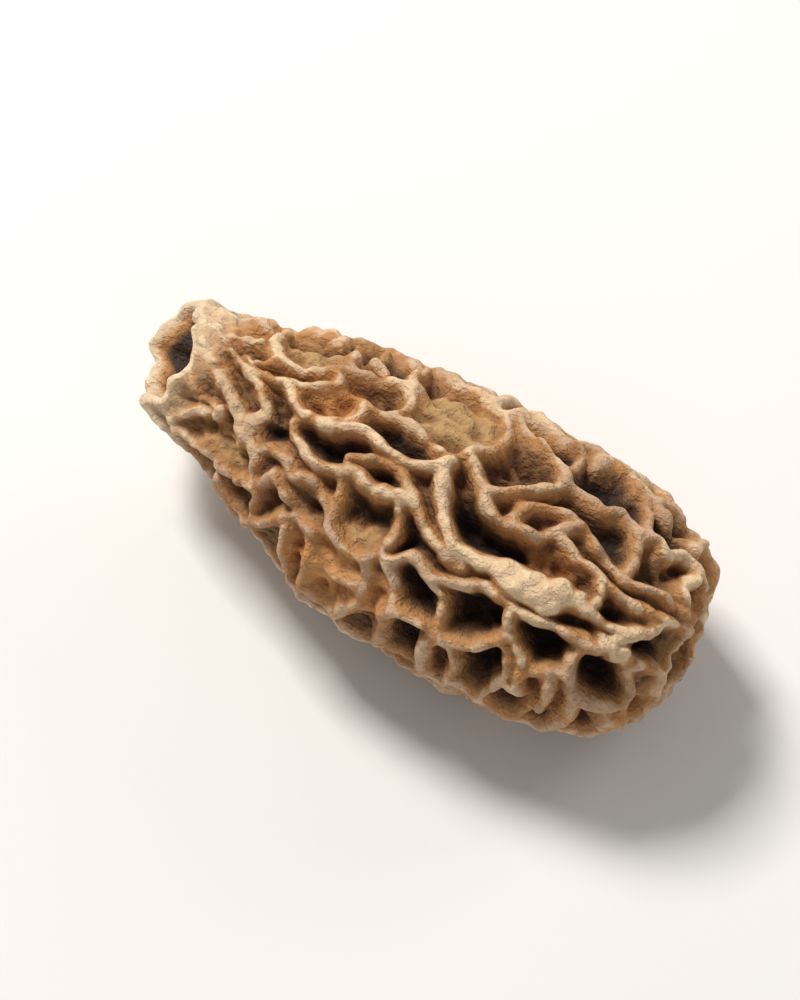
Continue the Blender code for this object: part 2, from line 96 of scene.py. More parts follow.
# The ridges of the seen side: half width, height of the crest, how pale it is from 0 to 1, then
# the points it runs through as (along, across), with across growing towards the front edge.
RIDGES = [
    (1.50, 0.35, 1.00, [(29.4, 1.1), (31.0, 0.95), (32.6, 0.9)]),
    (0.62, 0.35, 1.00, [(22.2, -4.0), (22.9, -2.2), (24.0, -0.4), (25.3, 1.0), (26.6, 1.3),
                        (28.4, 1.1), (31.0, 0.9), (32.8, 0.7), (34.5, 0.2)]),
    (0.45, 0.15, 0.85, [(14.3, 0.9), (16.1, 0.1), (16.9, -0.3), (18.7, 0.0), (20.0, -0.2),
                        (21.3, -0.4), (22.7, 0.7), (24.0, 1.5), (25.3, 1.9), (26.6, 2.0)]),
    (0.42, 0.15, 1.00, [(7.3, -3.2), (9.0, -3.4), (10.3, -3.0), (11.7, -2.1)]),
    (0.45, 0.15, 0.95, [(12.1, -2.3), (13.9, -2.5), (15.6, -3.1), (17.8, -2.8), (20.0, -2.7),
                        (21.3, -3.1), (22.4, -4.0)]),
    (0.30, -0.1, 0.55, [(16.1, -1.1), (17.8, -1.8), (19.6, -2.2), (20.5, -1.5), (21.4, -0.7)]),
    (0.40, 0.15, 0.60, [(23.1, -5.2), (24.0, -4.7), (25.3, -3.4), (26.2, -2.5), (27.5, -2.0),
                        (29.3, -2.2), (30.6, -3.1), (31.9, -4.3)]),
    (0.38, 0.15, 0.80, [(26.6, -3.8), (27.9, -4.9), (29.3, -5.9), (29.9, -6.8), (29.3, -7.8),
                        (27.5, -8.3), (26.2, -8.8), (24.9, -9.5), (24.0, -10.1)]),
    (0.30, 0.0, 0.50, [(27.9, -2.6), (28.2, -3.6), (28.8, -4.3), (30.1, -4.6), (31.5, -4.5)]),
    (0.42, 0.1, 0.45, [(30.1, -6.6), (31.5, -6.5), (33.2, -6.3), (34.3, -6.7), (35.9, -6.2),
                       (36.5, -5.3), (36.7, -4.0)]),
    (0.30, 0.05, 0.40, [(31.9, -4.4), (33.2, -4.2), (34.5, -3.4), (36.3, -2.7), (38.1, -2.6),
                        (40.3, -2.6), (42.0, -2.4), (43.3, -2.6)]),
    (0.34, 0.1, 0.70, [(31.5, -2.9), (32.8, -2.3), (34.1, -2.1), (35.4, -1.6), (37.6, -1.3),
                       (39.8, -1.3), (41.6, -1.5), (42.9, -1.1), (43.6, -0.7)]),
    (0.40, 0.0, 0.75, [(35.0, -1.5), (35.4, -0.4), (35.2, 0.5)]),
    (0.45, 0.0, 0.70, [(40.3, -1.3), (39.6, -0.2), (38.9, 0.7), (38.1, 1.5), (37.4, 2.3)]),
    (0.30, 0.0, 0.60, [(35.4, 0.4), (36.7, 0.9), (38.1, 0.9)]),
    (0.36, 0.1, 0.75, [(23.1, 2.9), (24.9, 3.4), (26.6, 3.2), (27.9, 2.6), (30.1, 2.5),
                       (31.9, 2.6), (33.7, 2.5), (35.4, 2.6), (37.2, 2.6)]),
    (0.55, 0.3, 0.90, [(37.0, 1.9), (38.0, 2.1), (38.4, 2.7)]),
    (0.40, 0.0, 0.70, [(30.6, 3.1), (31.3, 4.0), (31.4, 4.9), (30.6, 5.9), (29.3, 6.7),
                       (27.9, 7.2)]),
    (0.32, 0.0, 0.75, [(26.2, 4.4), (26.6, 5.5), (27.3, 6.6), (27.9, 7.3)]),
    (0.34, 0.0, 0.75, [(21.5, 3.5), (22.7, 4.8), (23.8, 6.3), (24.9, 6.7), (26.2, 6.8),
                       (27.5, 7.3)]),
    (0.28, -0.2, 0.60, [(24.9, 3.5), (26.2, 4.4)]),
    (0.30, 0.0, 0.55, [(35.9, 2.9), (36.0, 4.0), (36.3, 5.3), (37.2, 6.2)]),
    (0.36, 0.0, 0.55, [(31.9, 4.4), (32.8, 5.5), (33.7, 6.4), (35.0, 5.6), (36.3, 5.5)]),
    (0.38, 0.1, 0.60, [(33.7, 6.2), (33.5, 7.0), (34.1, 7.9)]),
    (0.36, 0.0, 0.50, [(37.2, 6.2), (38.9, 6.4), (40.3, 5.9), (40.7, 4.8), (40.5, 3.7),
                       (39.8, 2.9), (38.9, 2.2)]),
    (0.48, 0.2, 0.75, [(42.5, 2.2), (43.1, 3.1), (43.6, 4.4), (43.3, 5.9), (42.0, 7.0),
                       (40.7, 6.6)]),
    (0.32, 0.0, 0.55, [(39.8, 2.6), (41.1, 2.2), (42.0, 2.0), (42.9, 2.2)]),
    (0.34, 0.0, 0.50, [(42.9, 2.2), (43.6, 0.9), (43.4, -0.7)]),
    (0.50, 0.4, 1.00, [(40.3, -7.5), (41.6, -7.5), (42.2, -6.6), (42.0, -5.5), (41.1, -4.8),
                       (40.7, -3.7), (41.1, -2.9)]),
    (0.45, 0.2, 0.90, [(36.3, -5.9), (37.6, -5.9), (38.5, -5.5), (39.6, -6.2), (40.5, -5.9)]),
    (0.32, 0.0, 0.25, [(34.5, -9.5), (36.3, -8.5), (38.1, -8.2), (40.3, -7.9)]),
    (0.30, 0.1, 0.35, [(29.3, -9.9), (31.0, -10.3), (33.2, -10.2), (35.0, -9.2), (36.3, -7.9),
                       (36.7, -6.6)]),
    (0.30, 0.0, 0.60, [(24.9, -9.7), (26.6, -10.1), (29.3, -9.9)]),
    (0.28, -0.2, 0.45, [(30.6, -9.7), (30.1, -8.4), (29.9, -7.0)]),
    (0.42, 0.1, 0.65, [(28.4, 7.5), (29.1, 8.4), (28.8, 9.7)]),
    (0.45, 0.1, 0.60, [(26.6, 7.9), (27.1, 9.7)]),
    (0.36, 0.0, 0.50, [(31.9, 5.7), (32.6, 7.0), (32.3, 8.4), (31.5, 9.5)]),
    (0.36, 0.0, 0.55, [(35.4, 6.2), (35.9, 7.5), (35.4, 8.8), (34.5, 9.7)]),
    (0.42, 0.1, 0.60, [(37.6, 6.4), (37.8, 7.5), (37.2, 8.8)]),
    (0.40, 0.1, 0.60, [(39.8, 6.2), (40.3, 7.5), (38.9, 8.4)]),
    (0.32, 0.0, 0.50, [(23.1, 7.5), (24.0, 9.5)]),
    (0.42, 0.1, 0.90, [(2.9, 2.9), (3.7, 2.0), (5.1, 1.1), (6.4, 0.7)]),
    (0.36, 0.1, 0.85, [(1.5, -1.5), (2.9, -1.1), (3.7, -0.2), (5.1, 0.1), (6.4, 0.3)]),
    (0.55, 0.15, 0.75, [(2.0, -4.4), (3.3, -3.1), (4.6, -2.2), (5.9, -1.3), (7.0, -0.7),
                        (7.9, 0.2), (8.6, 1.3)]),
    (0.45, 0.1, 0.70, [(3.7, -4.8), (5.1, -3.7), (6.4, -3.3), (7.7, -2.4), (8.8, -1.3),
                       (8.6, 0.0), (9.0, 1.1)]),
    (0.45, 0.1, 0.75, [(7.3, -6.2), (8.1, -5.1), (9.5, -4.8), (10.8, -5.3), (12.1, -5.9),
                       (13.4, -6.6), (16.1, -7.3), (17.8, -7.7)]),
    (0.36, 0.0, 0.80, [(13.0, -5.5), (12.3, -4.8), (11.4, -4.4), (9.9, -3.7)]),
    (0.32, 0.0, 0.80, [(15.2, -4.8), (15.4, -4.0), (14.3, -3.1), (13.0, -2.5)]),
    (0.36, 0.0, 0.80, [(15.2, -5.1), (16.9, -5.3), (18.7, -5.3), (20.5, -4.8), (22.2, -4.6),
                       (23.1, -5.1)]),
    (0.45, -0.6, 0.60, [(24.4, -9.2), (24.9, -7.9), (24.4, -6.6)]),
    (0.36, 0.0, 0.65, [(16.9, -10.1), (17.4, -8.8), (17.6, -7.5), (17.8, -6.2), (16.9, -5.3)]),
    (0.34, 0.0, 0.75, [(12.5, -9.5), (14.3, -8.4), (15.6, -7.5)]),
    (0.32, 0.0, 0.65, [(12.1, -8.8), (13.0, -7.5), (13.4, -6.6)]),
    (0.36, 0.0, 0.75, [(2.0, -6.8), (4.2, -7.1), (6.4, -7.5), (9.0, -7.7), (11.2, -8.6),
                       (12.5, -9.3)]),
    (0.36, 0.0, 0.80, [(6.4, -7.3), (7.3, -6.6), (7.7, -5.7)]),
    (0.32, 0.0, 0.75, [(3.3, -5.3), (5.1, -5.1), (6.4, -5.4), (7.7, -5.5)]),
    (0.28, 0.0, 0.70, [(5.9, -4.4), (6.8, -3.8), (7.7, -4.4)]),
    (0.32, 0.0, 0.65, [(11.4, -2.2), (11.2, -1.1), (12.1, -0.2), (13.4, 0.4), (14.3, 0.7)]),
    (0.45, 0.1, 0.80, [(3.7, 2.9), (5.5, 3.1), (7.3, 3.7), (8.6, 4.4), (9.9, 4.2), (11.0, 3.7)]),
    (0.36, 0.0, 0.75, [(9.0, 1.1), (10.1, 2.0), (10.6, 3.1), (11.0, 4.0)]),
    (0.32, -0.2, 0.45, [(10.8, 0.9), (12.1, 1.3), (13.0, 2.0), (14.3, 1.8), (15.6, 2.4),
                        (16.5, 3.1)]),
    (0.40, 0.0, 0.70, [(16.5, 1.3), (16.7, 2.6), (17.4, 4.0), (19.1, 4.7), (20.5, 4.4),
                       (21.3, 3.1), (21.1, 1.3), (20.7, 0.0)]),
    (0.28, 0.1, 0.55, [(11.4, 6.8), (12.5, 6.2), (13.6, 5.2), (14.7, 4.5), (16.1, 4.6)]),
    (0.32, 0.0, 0.65, [(14.3, 5.3), (14.7, 6.6), (15.6, 7.9), (16.5, 9.0)]),
    (0.36, 0.0, 0.65, [(15.6, 4.8), (16.7, 6.2), (16.9, 7.5), (17.4, 8.8)]),
    (0.36, -0.1, 0.60, [(20.5, 4.8), (21.3, 6.2), (21.3, 7.5), (20.5, 9.2)]),
    (0.32, -0.3, 0.55, [(17.4, 6.4), (19.1, 6.6), (20.9, 6.2)]),
    (0.28, 0.0, 0.50, [(8.1, 4.6), (9.9, 5.9), (11.4, 6.8)]),
    (0.28, -0.2, 0.40, [(12.1, 2.6), (13.4, 3.5), (14.3, 4.2)]),
    (0.28, -0.2, 0.40, [(11.7, 3.1), (11.4, 4.8), (11.7, 6.2)]),
]

# The seen side's pits that differ from the usual ones: (along, across), half sizes, depth, how
# orange the floor is from 0 to 1, and how dark it is from 0 to 1, which darkens the floor partly
# to its own dark brown and partly as painted shade.
PITS = [
    ((35.6, -8.4), (3.2, 1.8), 2.4, 0.0, 1.15),
    ((27.9, -1.1), (3.6, 1.2), 3.3, 0.5, 1.0),
    ((31.5, -1.3), (1.8, 0.9), 2.0, 0.9, 0.4),
    ((21.3, -7.9), (3.4, 2.6), 1.1, 0.2, 0.0),
    ((26.6, -6.6), (2.2, 1.9), 2.3, 0.8, 0.6),
    ((32.8, -8.6), (3.0, 1.8), 2.6, 0.0, 1.1),
    ((34.0, -5.2), (1.9, 1.0), 2.6, 0.3, 0.9),
    ((28.8, 4.8), (2.2, 1.6), 3.0, 1.0, 0.7),
    ((24.8, 5.1), (1.3, 1.2), 2.6, 0.5, 0.8),
    ((33.9, 4.1), (1.9, 1.0), 3.2, 0.3, 1.0),
    ((38.3, 4.4), (2.1, 1.2), 3.0, 0.3, 0.9),
    ((17.9, -4.0), (2.6, 0.8), 2.6, 0.5, 0.8),
    ((14.3, -1.5), (2.8, 0.9), 2.6, 0.3, 0.9),
    ((19.2, -1.1), (1.8, 0.5), 2.2, 0.4, 0.8),
    ((18.3, 1.8), (1.6, 1.2), 2.6, 0.6, 0.7),
    ((19.4, 3.6), (1.5, 0.9), 1.3, 0.3, 0.0),
    ((19.6, 7.0), (3.8, 2.2), 1.2, 1.2, -0.15),
    ((13.9, -4.8), (2.4, 1.3), 1.3, 1.0, 0.1),
    ((11.3, -3.7), (1.3, 0.7), 1.6, 0.7, 0.4),
    ((4.6, -6.2), (2.4, 1.0), 0.9, 0.7, 0.1),
    ((10.6, -7.0), (2.4, 1.2), 1.0, 0.2, 0.1),
    ((3.9, -3.9), (1.2, 0.5), 1.0, 0.6, 0.3),
    ((3.4, -1.5), (1.2, 0.6), 1.2, 0.5, 0.6),
    ((7.3, 1.9), (2.6, 0.8), 1.5, 0.8, 0.5),
    ((7.6, 3.0), (2.2, 0.8), 1.0, 0.3, 0.0),
    ((9.9, 0.4), (0.9, 0.8), 2.0, 0.3, 0.9),
    ((12.8, 3.4), (1.8, 1.6), 1.6, 0.3, 0.5),
    ((40.6, 1.1), (1.8, 0.9), 3.0, 0.2, 1.0),
    ((36.9, -0.5), (1.4, 0.8), 2.5, 0.4, 0.8),
    ((35.6, 1.6), (1.4, 0.4), 2.2, 0.3, 0.9),
    ((26.5, 2.4), (4.0, 0.4), 2.2, 0.4, 0.9),
    ((22.3, 2.6), (1.2, 1.6), 2.8, 0.3, 0.9),
    ((38.6, -4.3), (1.6, 0.7), 1.8, 0.4, 0.5),
    ((30.6, 7.4), (1.8, 1.4), 2.8, 0.2, 0.9),
    ((35.6, 7.6), (2.2, 1.6), 2.0, 1.0, 0.4),
    ((25.0, 8.6), (1.6, 1.0), 2.4, 0.3, 0.8),
    ((42.0, 4.6), (1.2, 1.8), 1.2, 1.1, 0.0),
    ((42.6, -6.2), (1.6, 1.4), 1.5, 0.6, 0.0),
    ((13.3, -8.6), (1.0, 1.0), 2.2, 0.6, 0.7),
]
USUAL_DEPTH = 2.0
USUAL_WARMTH = 0.45
USUAL_DARK = 0.55

# The pits' depth on the stem and at the tip, and where along each of them takes over.
STEM_DEPTH = 0.75
STEM_END = (3.5, 10.5)
TIP_DEPTH = 1.0
TIP_END = (44.8, 46.4)

# How far a pit's wall runs out from its ridge, and the share of a listed half width that the
# ridge's level top takes up.
WALL_RUN = 1.35
RIDGE_SHARE = 0.61

# A ridge's end nearer than this to another ridge runs on to it. Any other end narrows over a share
# of the ridge's run until its edge lies this far inside.
JOIN_REACH = 3.4
FADE_RUN = 0.3
FREE_END_GAP = 0.5

# A distance further than any wall runs, which takes a ridge out of the relief.
OUT_OF_REACH = 3.0

# The unseen side's pits: one in each cell of a staggered lattice, moved about by a seeded amount.
HIDDEN_ROWS = 13
HIDDEN_AROUND = 12
HIDDEN_STRETCH = 0.62
HIDDEN_RIDGE = 0.30
HIDDEN_SHIFT = 0.4
HIDDEN_FROM = math.radians(62.0)
HIDDEN_FULL = math.radians(98.0)
SEED = 11

# The skin's columns and rows. The columns stand closer on the seen side, by this share.
AROUND = 330
SEEN_CLOSER = 0.32
LONG_ROWS = 250
LIP_ROWS = 9
INNER_ROWS = 30

# The torn lip's thickness, the hollow's far end, and how deep the light reaches into it.
LIP_THICK = 1.05
HOLLOW_END = 39.0
LIT_DEPTH = 6.0

# The underside: the band above the lowest point that is drawn down, by which share, and how much
# of the lowest crests is worn level.
SETTLE_BAND = 1.6
SETTLE_SHARE = 0.5
WORN = 0.35


def metres(length):
    """The scene's length for one in millimetres."""
    return length * MM


class MorelSettings(bpy.types.PropertyGroup):
    """What a user would change about the mushroom."""

    length: bpy.props.FloatProperty(
        name="Length",
        description="From the far side of the cut stem to the tip",
        default=SOLID_BOX[1].x - SOLID_BOX[0].x,
        min=0.02,
        max=0.12,
        unit="LENGTH",
    )
    crinkle: bpy.props.FloatProperty(
        name="Crinkle",
        description="How much the ridges wander and wrinkle",
        default=1.0,
        min=0.0,
        max=2.0,
    )
    crest_pale: bpy.props.FloatVectorProperty(
        name="Pale crests",
        description="Colour of the palest ridges",
        default=(0.80, 0.59, 0.37),
        subtype="COLOR",
    )
    crest_dull: bpy.props.FloatVectorProperty(
        name="Dull crests",
        description="Colour of the browner, duller ridges",
        default=(0.49, 0.305, 0.185),
        subtype="COLOR",
    )
    wall_tan: bpy.props.FloatVectorProperty(
        name="Tan walls",
        description="Colour of the pits' walls under the crests",
        default=(0.41, 0.205, 0.078),
        subtype="COLOR",
    )
    floor_warm: bpy.props.FloatVectorProperty(
        name="Warm floors",
        description="Colour of the orange-brown pit floors",
        default=(0.62, 0.30, 0.10),
        subtype="COLOR",
    )
    floor_khaki: bpy.props.FloatVectorProperty(
        name="Khaki floors",
        description="Colour of the smooth khaki pit floors",
        default=(0.46, 0.29, 0.13),
        subtype="COLOR",
    )
    # Also the colour painted as shade in the deep pits, down their walls and into the hollow.
    floor_dark_and_shade: bpy.props.FloatVectorProperty(
        name="Dark floors",
        description="Colour at the bottom of the deepest pits",
        default=(0.030, 0.012, 0.006),
        subtype="COLOR",
    )
    stem_cream: bpy.props.FloatVectorProperty(
        name="Stem cream",
        description="Colour of the torn stem's lip",
        default=(0.80, 0.64, 0.44),
        subtype="COLOR",
    )


class StageSettings(bpy.types.PropertyGroup):
    """What a user would change about the floor, the lights and the camera."""

    floor_colour: bpy.props.FloatVectorProperty(
        name="Floor",
        description="Colour of the pale floor",
        default=(0.80, 0.79, 0.775),
        subtype="COLOR",
    )
    azimuth: bpy.props.FloatProperty(
        name="Azimuth",
        description="How far round the camera stands from straight in front",
        default=math.radians(32.4),
        subtype="ANGLE",
    )
    elevation: bpy.props.FloatProperty(
        name="Elevation",
        description="How far the camera looks down",
        default=math.radians(57.0),
        subtype="ANGLE",
    )
    distance: bpy.props.FloatProperty(
        name="Distance",
        description="From the mushroom's middle to the camera",
        default=0.20,
        unit="LENGTH",
    )
    lens: bpy.props.FloatProperty(
        name="Lens",
        description="The camera's focal length, in millimetres",
        default=105.0,
    )


# Shapes


def table(x, rows, column):
    """The column's value at x, read from the rows and smoothed over a few millimetres."""
    rows = np.array(rows)
    offsets = np.linspace(-1.5, 1.5, 7)
    return np.mean([np.interp(x + step, rows[:, 0], rows[:, column]) for step in offsets], axis=0)


def even_path(points, count):
    """The count points spaced evenly along the smooth curve through the given points."""
    p = np.array(points, float)
    p = np.vstack([2 * p[0] - p[1], p, 2 * p[-1] - p[-2]])
    t = np.linspace(0.0, 1.0, 12, endpoint=False)[:, None, None]
    a, b, c, d = p[:-3], p[1:-2], p[2:-1], p[3:]
    run = 2 * b + (c - a) * t + (2 * a - 5 * b + 4 * c - d) * t**2 + (3 * b - a - 3 * c + d) * t**3
    run = np.vstack([0.5 * run.transpose(1, 0, 2).reshape(-1, p.shape[1]), p[-2]])
    length = np.concatenate([[0.0], np.cumsum(np.linalg.norm(np.diff(run, axis=0), axis=1))])
    spots = np.linspace(0.0, length[-1], count)
    return np.stack([np.interp(spots, length, run[:, i]) for i in range(run.shape[1])], axis=1)


def middle(x):
    """The middle line's sideways and upward offset at x."""
    return table(x, BEND, 1), table(x, BEND, 2)


def surface_point(x, half_width, angle):
    """The smooth body's point: an ellipse across the bent middle line, at an angle from the seen
    side's middle line towards the front."""
    turn = FACE_TURN + angle
    wide = np.maximum(half_width * WIDE, 1e-6)
    tall = np.maximum(half_width * TALL, 1e-6)
    reach = 1.0 / np.sqrt((np.sin(turn) / wide) ** 2 + (np.cos(turn) / tall) ** 2)
    side, up = middle(x)
    return np.stack([x, side - reach * np.sin(turn), up + reach * np.cos(turn)], axis=-1)


def outline_width(x):
    run = even_path(OUTLINE, 300)
    return np.interp(x, run[:, 0], run[:, 1])


def seat(points):
    """The seen side's (along, across) points, set onto the smooth body."""
    along, across = np.array(points, float).T
    x = (along - SEEN_START) / math.cos(FACE_LEAN)
    angle = np.zeros_like(x)
    for _ in range(25):
        spot = surface_point(x, outline_width(x), angle)
        side, up = middle(x)
        toward = -math.sin(FACE_TURN) * spot[:, 1] + math.cos(FACE_TURN) * spot[:, 2]
        x = (along - SEEN_START + math.sin(FACE_LEAN) * toward) / math.cos(FACE_LEAN)
        x = np.clip(x, 0.0, 46.2)
        reach = np.hypot(spot[:, 1] - side, spot[:, 2] - up)
        offset = across + math.cos(FACE_TURN) * side + math.sin(FACE_TURN) * up
        angle = np.arcsin(np.clip(offset / np.maximum(reach, 1e-6), -1.0, 1.0))
    return surface_point(x, outline_width(x), angle)


def smooth_step(low, high, value):
    share = np.clip((value - low) / (high - low), 0.0, 1.0)
    return share * share * (3.0 - 2.0 * share)


def hashed(cells, seed):
    """A fixed number from -1 to 1 for each whole-numbered lattice point."""
    with np.errstate(over="ignore"):
        mixed = cells.astype(np.int64).astype(np.uint64)
        value = mixed[..., 0] * np.uint64(0x9E3779B97F4A7C15)
        value ^= mixed[..., 1] * np.uint64(0xC2B2AE3D27D4EB4F)
        value ^= mixed[..., 2] * np.uint64(0x165667B19E3779F9)
        value ^= np.uint64(seed + 1) * np.uint64(0x27D4EB2F165667C5)
        value ^= value >> np.uint64(29)
        value *= np.uint64(0xBF58476D1CE4E5B9)
        value ^= value >> np.uint64(32)
    return (value & np.uint64(0xFFFFFF)).astype(float) / 0x7FFFFF - 1.0


def noise(points, size, seed):
    """Smooth noise about -1 to 1: slopes fixed at lattice points, blended across each cell."""
    spot = points / size
    cell = np.floor(spot)
    inside = spot - cell
    blend = inside**3 * (inside * (inside * 6.0 - 15.0) + 10.0)
    total = np.zeros(points.shape[:-1])
    for corner in np.ndindex(2, 2, 2):
        corner = np.array(corner)
        weight = np.prod(np.where(corner == 1, blend, 1.0 - blend), axis=-1)
        slopes = np.stack([hashed(cell + corner, seed * 7 + k) for k in range(3)], axis=-1)
        total += weight * ((inside - corner) * slopes).sum(-1)
    return total * 1.6


def noise_vector(points, size, seed):
    return np.stack([noise(points, size, seed + 31 * k) for k in range(3)], axis=-1)


def distance_to_path(points, path):
    """How far each point is from the nearest stretch of the path, and where along the path that
    is, from 0 to 1."""
    start, step = path[:-1], np.diff(path, axis=0)
    to_point = points[:, None, :] - start[None]
    share = np.clip((to_point * step).sum(-1) / np.maximum((step**2).sum(-1), 1e-12), 0.0, 1.0)
    apart = np.linalg.norm(to_point - share[..., None] * step, axis=-1)
    nearest = apart.argmin(axis=1)
    rows = np.arange(len(points))
    return apart[rows, nearest], (nearest + share[rows, nearest]) / len(step)


def set_ridges():
    """Every ridge of the seen side as (half width, crest, paleness, fades, points on the body). An
    end that stops short of the others runs on to the nearest of them, which closes the pits; one
    that stops far from them fades away instead."""
    runs = [seat(even_path(path, 3 * len(path))) for *_, path in RIDGES]
    closed = []
    for place, (row, run) in enumerate(zip(RIDGES, runs)):
        others = np.concatenate(runs[:place] + runs[place + 1:])
        fades = []
        for end in (0, -1):
            apart = np.linalg.norm(others - run[end], axis=1)
            nearest = others[apart.argmin()]
            fades.append(apart.min() >= JOIN_REACH)
            if 0.2 < apart.min() < JOIN_REACH:
                between = (run[end] + nearest) / 2.0
                pair = [nearest, between] if end == 0 else [between, nearest]
                run = np.concatenate([pair, run] if end == 0 else [run, pair])
        closed.append((*row[:3], fades, run))
    return closed


def seen_field(points):
    """The seen side's fields at each point: distance to the edge of the nearest ridge, the height
    and paleness of its crest, and the pit's depth, warmth and darkness.

    The distance is a smooth least of the distances to all ridges: minus a small length times the
    logarithm of the sum of exp(-distance / length). Crest and paleness are means weighted by
    exp(-distance / fade). Each listed pit draws the last three values to its own inside a flat-topped
    oval, exp(-(radius to the fourth) / 3)."""
    join, fade, reach = 0.10, 0.45, 3.0
    nearness = np.full(len(points), math.exp(-reach / join))
    weight = np.full(len(points), 1e-9)
    crest = np.zeros(len(points))
    pale = np.full(len(points), 0.6e-9)
    for half_width, height, paleness, fades, run in set_ridges():
        low, high = run.min(axis=0) - reach, run.max(axis=0) + reach
        near = np.flatnonzero(((points > low) & (points < high)).all(axis=1))
        apart, along = distance_to_path(points[near], run)
        whole = np.ones(len(near))
        if fades[0]:
            whole = whole * smooth_step(0.0, FADE_RUN, along)
        if fades[1]:
            whole = whole * smooth_step(0.0, FADE_RUN, 1.0 - along)
        gap = apart - half_width * RIDGE_SHARE * whole + FREE_END_GAP * (1.0 - whole)
        nearness[near] += np.exp(-np.minimum(gap, reach) / join)
        share = np.exp(-np.minimum(gap, reach) / fade)
        weight[near] += share
        crest[near] += share * height * whole
        pale[near] += share * paleness
    gap = -join * np.log(nearness)
    pits = np.stack([
        np.full(len(points), USUAL_DEPTH),
        np.full(len(points), USUAL_WARMTH),
        np.full(len(points), USUAL_DARK),
    ])
    for spot, sizes, depth, warm, dark in PITS:
        offset = points - seat([spot])[0]
        across = np.linalg.norm(offset[:, 1:], axis=1)
        share = np.exp(-(((offset[:, 0] / sizes[0]) ** 2 + (across / sizes[1]) ** 2) ** 2) / 3.0)
        pits += (np.array([depth, warm, dark])[:, None] - pits) * share
    return gap, crest / weight, pale / weight, pits


def hidden_centres():
    """The pit centres all over the body, in a staggered lattice with seeded shifts."""
    jitter = np.random.default_rng(SEED)
    run = even_path(OUTLINE, HIDDEN_ROWS + 3)[1:-1]
    spots = []
    for row, (x, half_width) in enumerate(run):
        count = max(3, round(HIDDEN_AROUND * half_width / 10.2))
        for place in range(count):
            shift = jitter.uniform(-HIDDEN_SHIFT, HIDDEN_SHIFT)
            angle = 2 * math.pi * (place + 0.5 * (row % 2) + shift) / count
            spots.append((x + jitter.uniform(-1.2, 1.2), half_width, angle))
    x, half_width, angle = np.array(spots).T
    return surface_point(x, half_width, angle)


def hidden_field(points):
    """The unseen side's fields: distance to the edge of the ridge where two pits' reaches meet,
    and each pit's own number from 0 to 1."""
    squeeze = np.array([HIDDEN_STRETCH, 1.0, 1.0])
    centres = hidden_centres()
    apart = np.linalg.norm((points[:, None] - centres[None]) * squeeze, axis=-1)
    order = np.argpartition(apart, 1, axis=1)[:, :2]
    two = np.take_along_axis(apart, order, axis=1)
    gap = np.abs(two[:, 1] - two[:, 0]) / 2.0 - HIDDEN_RIDGE
    own = np.where(two[:, 0] <= two[:, 1], order[:, 0], order[:, 1])
    return gap, (own * 0.618034) % 1.0


def grid_slopes(grid):
    """The change of a grid's values from row to row and, round the closed rows, column to column."""
    down = np.gradient(grid, axis=0)
    round_ = (np.roll(grid, -1, axis=1) - np.roll(grid, 1, axis=1)) / 2.0
    return down, round_


def grid_normals(grid):
    """Unit vectors square to a grid of points, facing away from its middle line."""
    down, round_ = grid_slopes(grid)
    square = np.cross(round_, down)
    square /= np.maximum(np.linalg.norm(square, axis=-1), 1e-9)[..., None]
    return square


def evened(grid, steps):
    """A grid of values with each one drawn towards its neighbours, this many times over."""
    for _ in range(steps):
        grid = (np.roll(grid, 1, axis=1) + grid + np.roll(grid, -1, axis=1)) / 3.0
        padded = np.pad(grid, ((1, 1), (0, 0)), mode="edge")
        grid = (padded[:-2] + grid + padded[2:]) / 3.0
    return grid


def cap_base(angle):
    """The smooth outside from the lip to the tip: the outline's profile turned round the bent
    middle line, with its stem end slanted and a little crumpled.

    The slant moves the lip along by LIP_SLANT times (1 + cos angle) / 2, the crumple adds a few sine
    waves of the angle, and both die away over LIP_REACH. Near the tip the profile is kept as it is."""
    run = even_path(OUTLINE, LONG_ROWS + 1)[:-1]
    x = np.repeat(run[:, :1], len(angle), axis=1)
    half_width = np.repeat(run[:, 1:], len(angle), axis=1)
    lean = (1.0 + np.cos(angle)) / 2.0 * LIP_SLANT
    wave = 0.35 * np.sin(3 * angle + 0.8) + 0.25 * np.sin(7 * angle + 2.0) + 0.16 * np.sin(12 * angle)
    settled = 1.0 - smooth_step(0.0, LIP_REACH, x)
    x = x + (lean + wave) * settled
    near_tip = x >= run[-1, 0] - 6
    half_width = np.where(near_tip, half_width, np.interp(x, run[:, 0], run[:, 1]))
    fold = 0.05 * np.sin(2 * angle + 1.1) + 0.045 * np.sin(5 * angle - 0.6) + 0.03 * np.sin(9 * angle)
    near_lip = 1.0 - smooth_step(0.0, 8.0, x - lean)
    half_width = half_width * (1.0 + fold * near_lip)
    return surface_point(x, half_width, np.broadcast_to(angle, x.shape))


